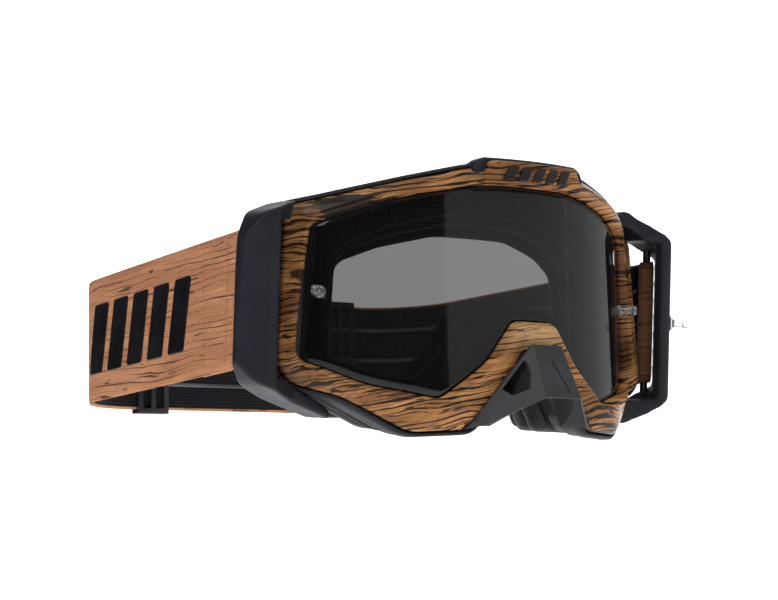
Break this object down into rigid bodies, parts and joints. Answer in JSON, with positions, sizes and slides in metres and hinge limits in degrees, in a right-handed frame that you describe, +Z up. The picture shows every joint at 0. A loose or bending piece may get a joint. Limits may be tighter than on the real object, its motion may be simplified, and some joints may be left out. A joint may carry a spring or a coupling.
{
  "type": "motorcycle goggles",
  "caption": "Motorcycle goggles with a smoke lens, wood-print bezel, removable nose guard, face foam and an adjustable head strap.",
  "frame": {"origin": "centre of the face port, on the rear plane of the face foam at the middle of the face", "axes": "+Z up, -Y the way the goggles look, +X to the wearer's left"},
  "size_m": [0.217, 0.2148, 0.1031],
  "materials": {
    "frame_black": "fine moulded texture, satin",
    "pin_steel": "drawn wire",
    "bezel_wood_print": "gloss clear coat over a golden brown wood print",
    "badge_gloss_black": "gloss",
    "face_frame_soft": "matte soft moulding",
    "lens_smoke": "gloss dark smoke polycarbonate",
    "lens_tab_black": "satin",
    "post_clear": "clear gloss polycarbonate",
    "guard_black": "satin",
    "vent_foam": "open-cell filter foam",
    "face_foam": "open-cell foam",
    "face_fleece": "brushed fleece",
    "strap_fabric": "woven elastic with a brown wood print",
    "strap_lining": "plain woven backing",
    "bead_silicone": "satin silicone",
    "print_gloss_black": "gloss raised print",
    "strap_thread": "sewing thread",
    "adjuster_black": "satin"
  },
  "bodies": {
    "frame": {"outer_frame": "frame_black", "outrigger_left": "frame_black", "outrigger_right": "frame_black", "strap_pin_left": "pin_steel", "strap_pin_right": "pin_steel", "bezel": "bezel_wood_print", "brow_badge": "badge_gloss_black", "face_frame": "face_frame_soft", "pull_tab_post": "post_clear", "top_vent_foam": "vent_foam", "lower_vent_foam": "vent_foam", "foam_base": "face_foam", "foam_middle": "face_foam", "face_fleece": "face_fleece", "strap_web": "strap_fabric", "strap_lining": "strap_lining", "strap_end_left": "strap_fabric", "strap_end_right": "strap_fabric", "grip_beads": "bead_silicone", "strap_print": "print_gloss_black", "strap_stitching": "strap_thread"},
    "lens_unit": {"lens": "lens_smoke", "lens_tabs": "lens_tab_black", "tear_off_post_left": "post_clear", "tear_off_post_right": "post_clear"},
    "guard_unit": {"nose_guard": "guard_black", "guard_pegs": "guard_black"},
    "adjuster_left": {"adjuster_left": "adjuster_black"},
    "adjuster_right": {"adjuster_right": "adjuster_black"}
  },
  "joints": [
    {"name": "lens_pull", "type": "slide", "parent": "frame", "child": "lens_unit", "axis": [0, -1, 0], "range_m": [0, 0.03]},
    {"name": "nose_guard_pull", "type": "slide", "parent": "frame", "child": "guard_unit", "axis": [0, -1, 0], "range_m": [0, 0.012]},
    {"name": "adjuster_left_slide", "type": "slide", "parent": "frame", "child": "adjuster_left", "axis": [-1, 0, 0], "range_m": [0, 0.03]},
    {"name": "adjuster_right_slide", "type": "slide", "parent": "frame", "child": "adjuster_right", "axis": [1, 0, 0], "range_m": [0, 0.03]}
  ]
}
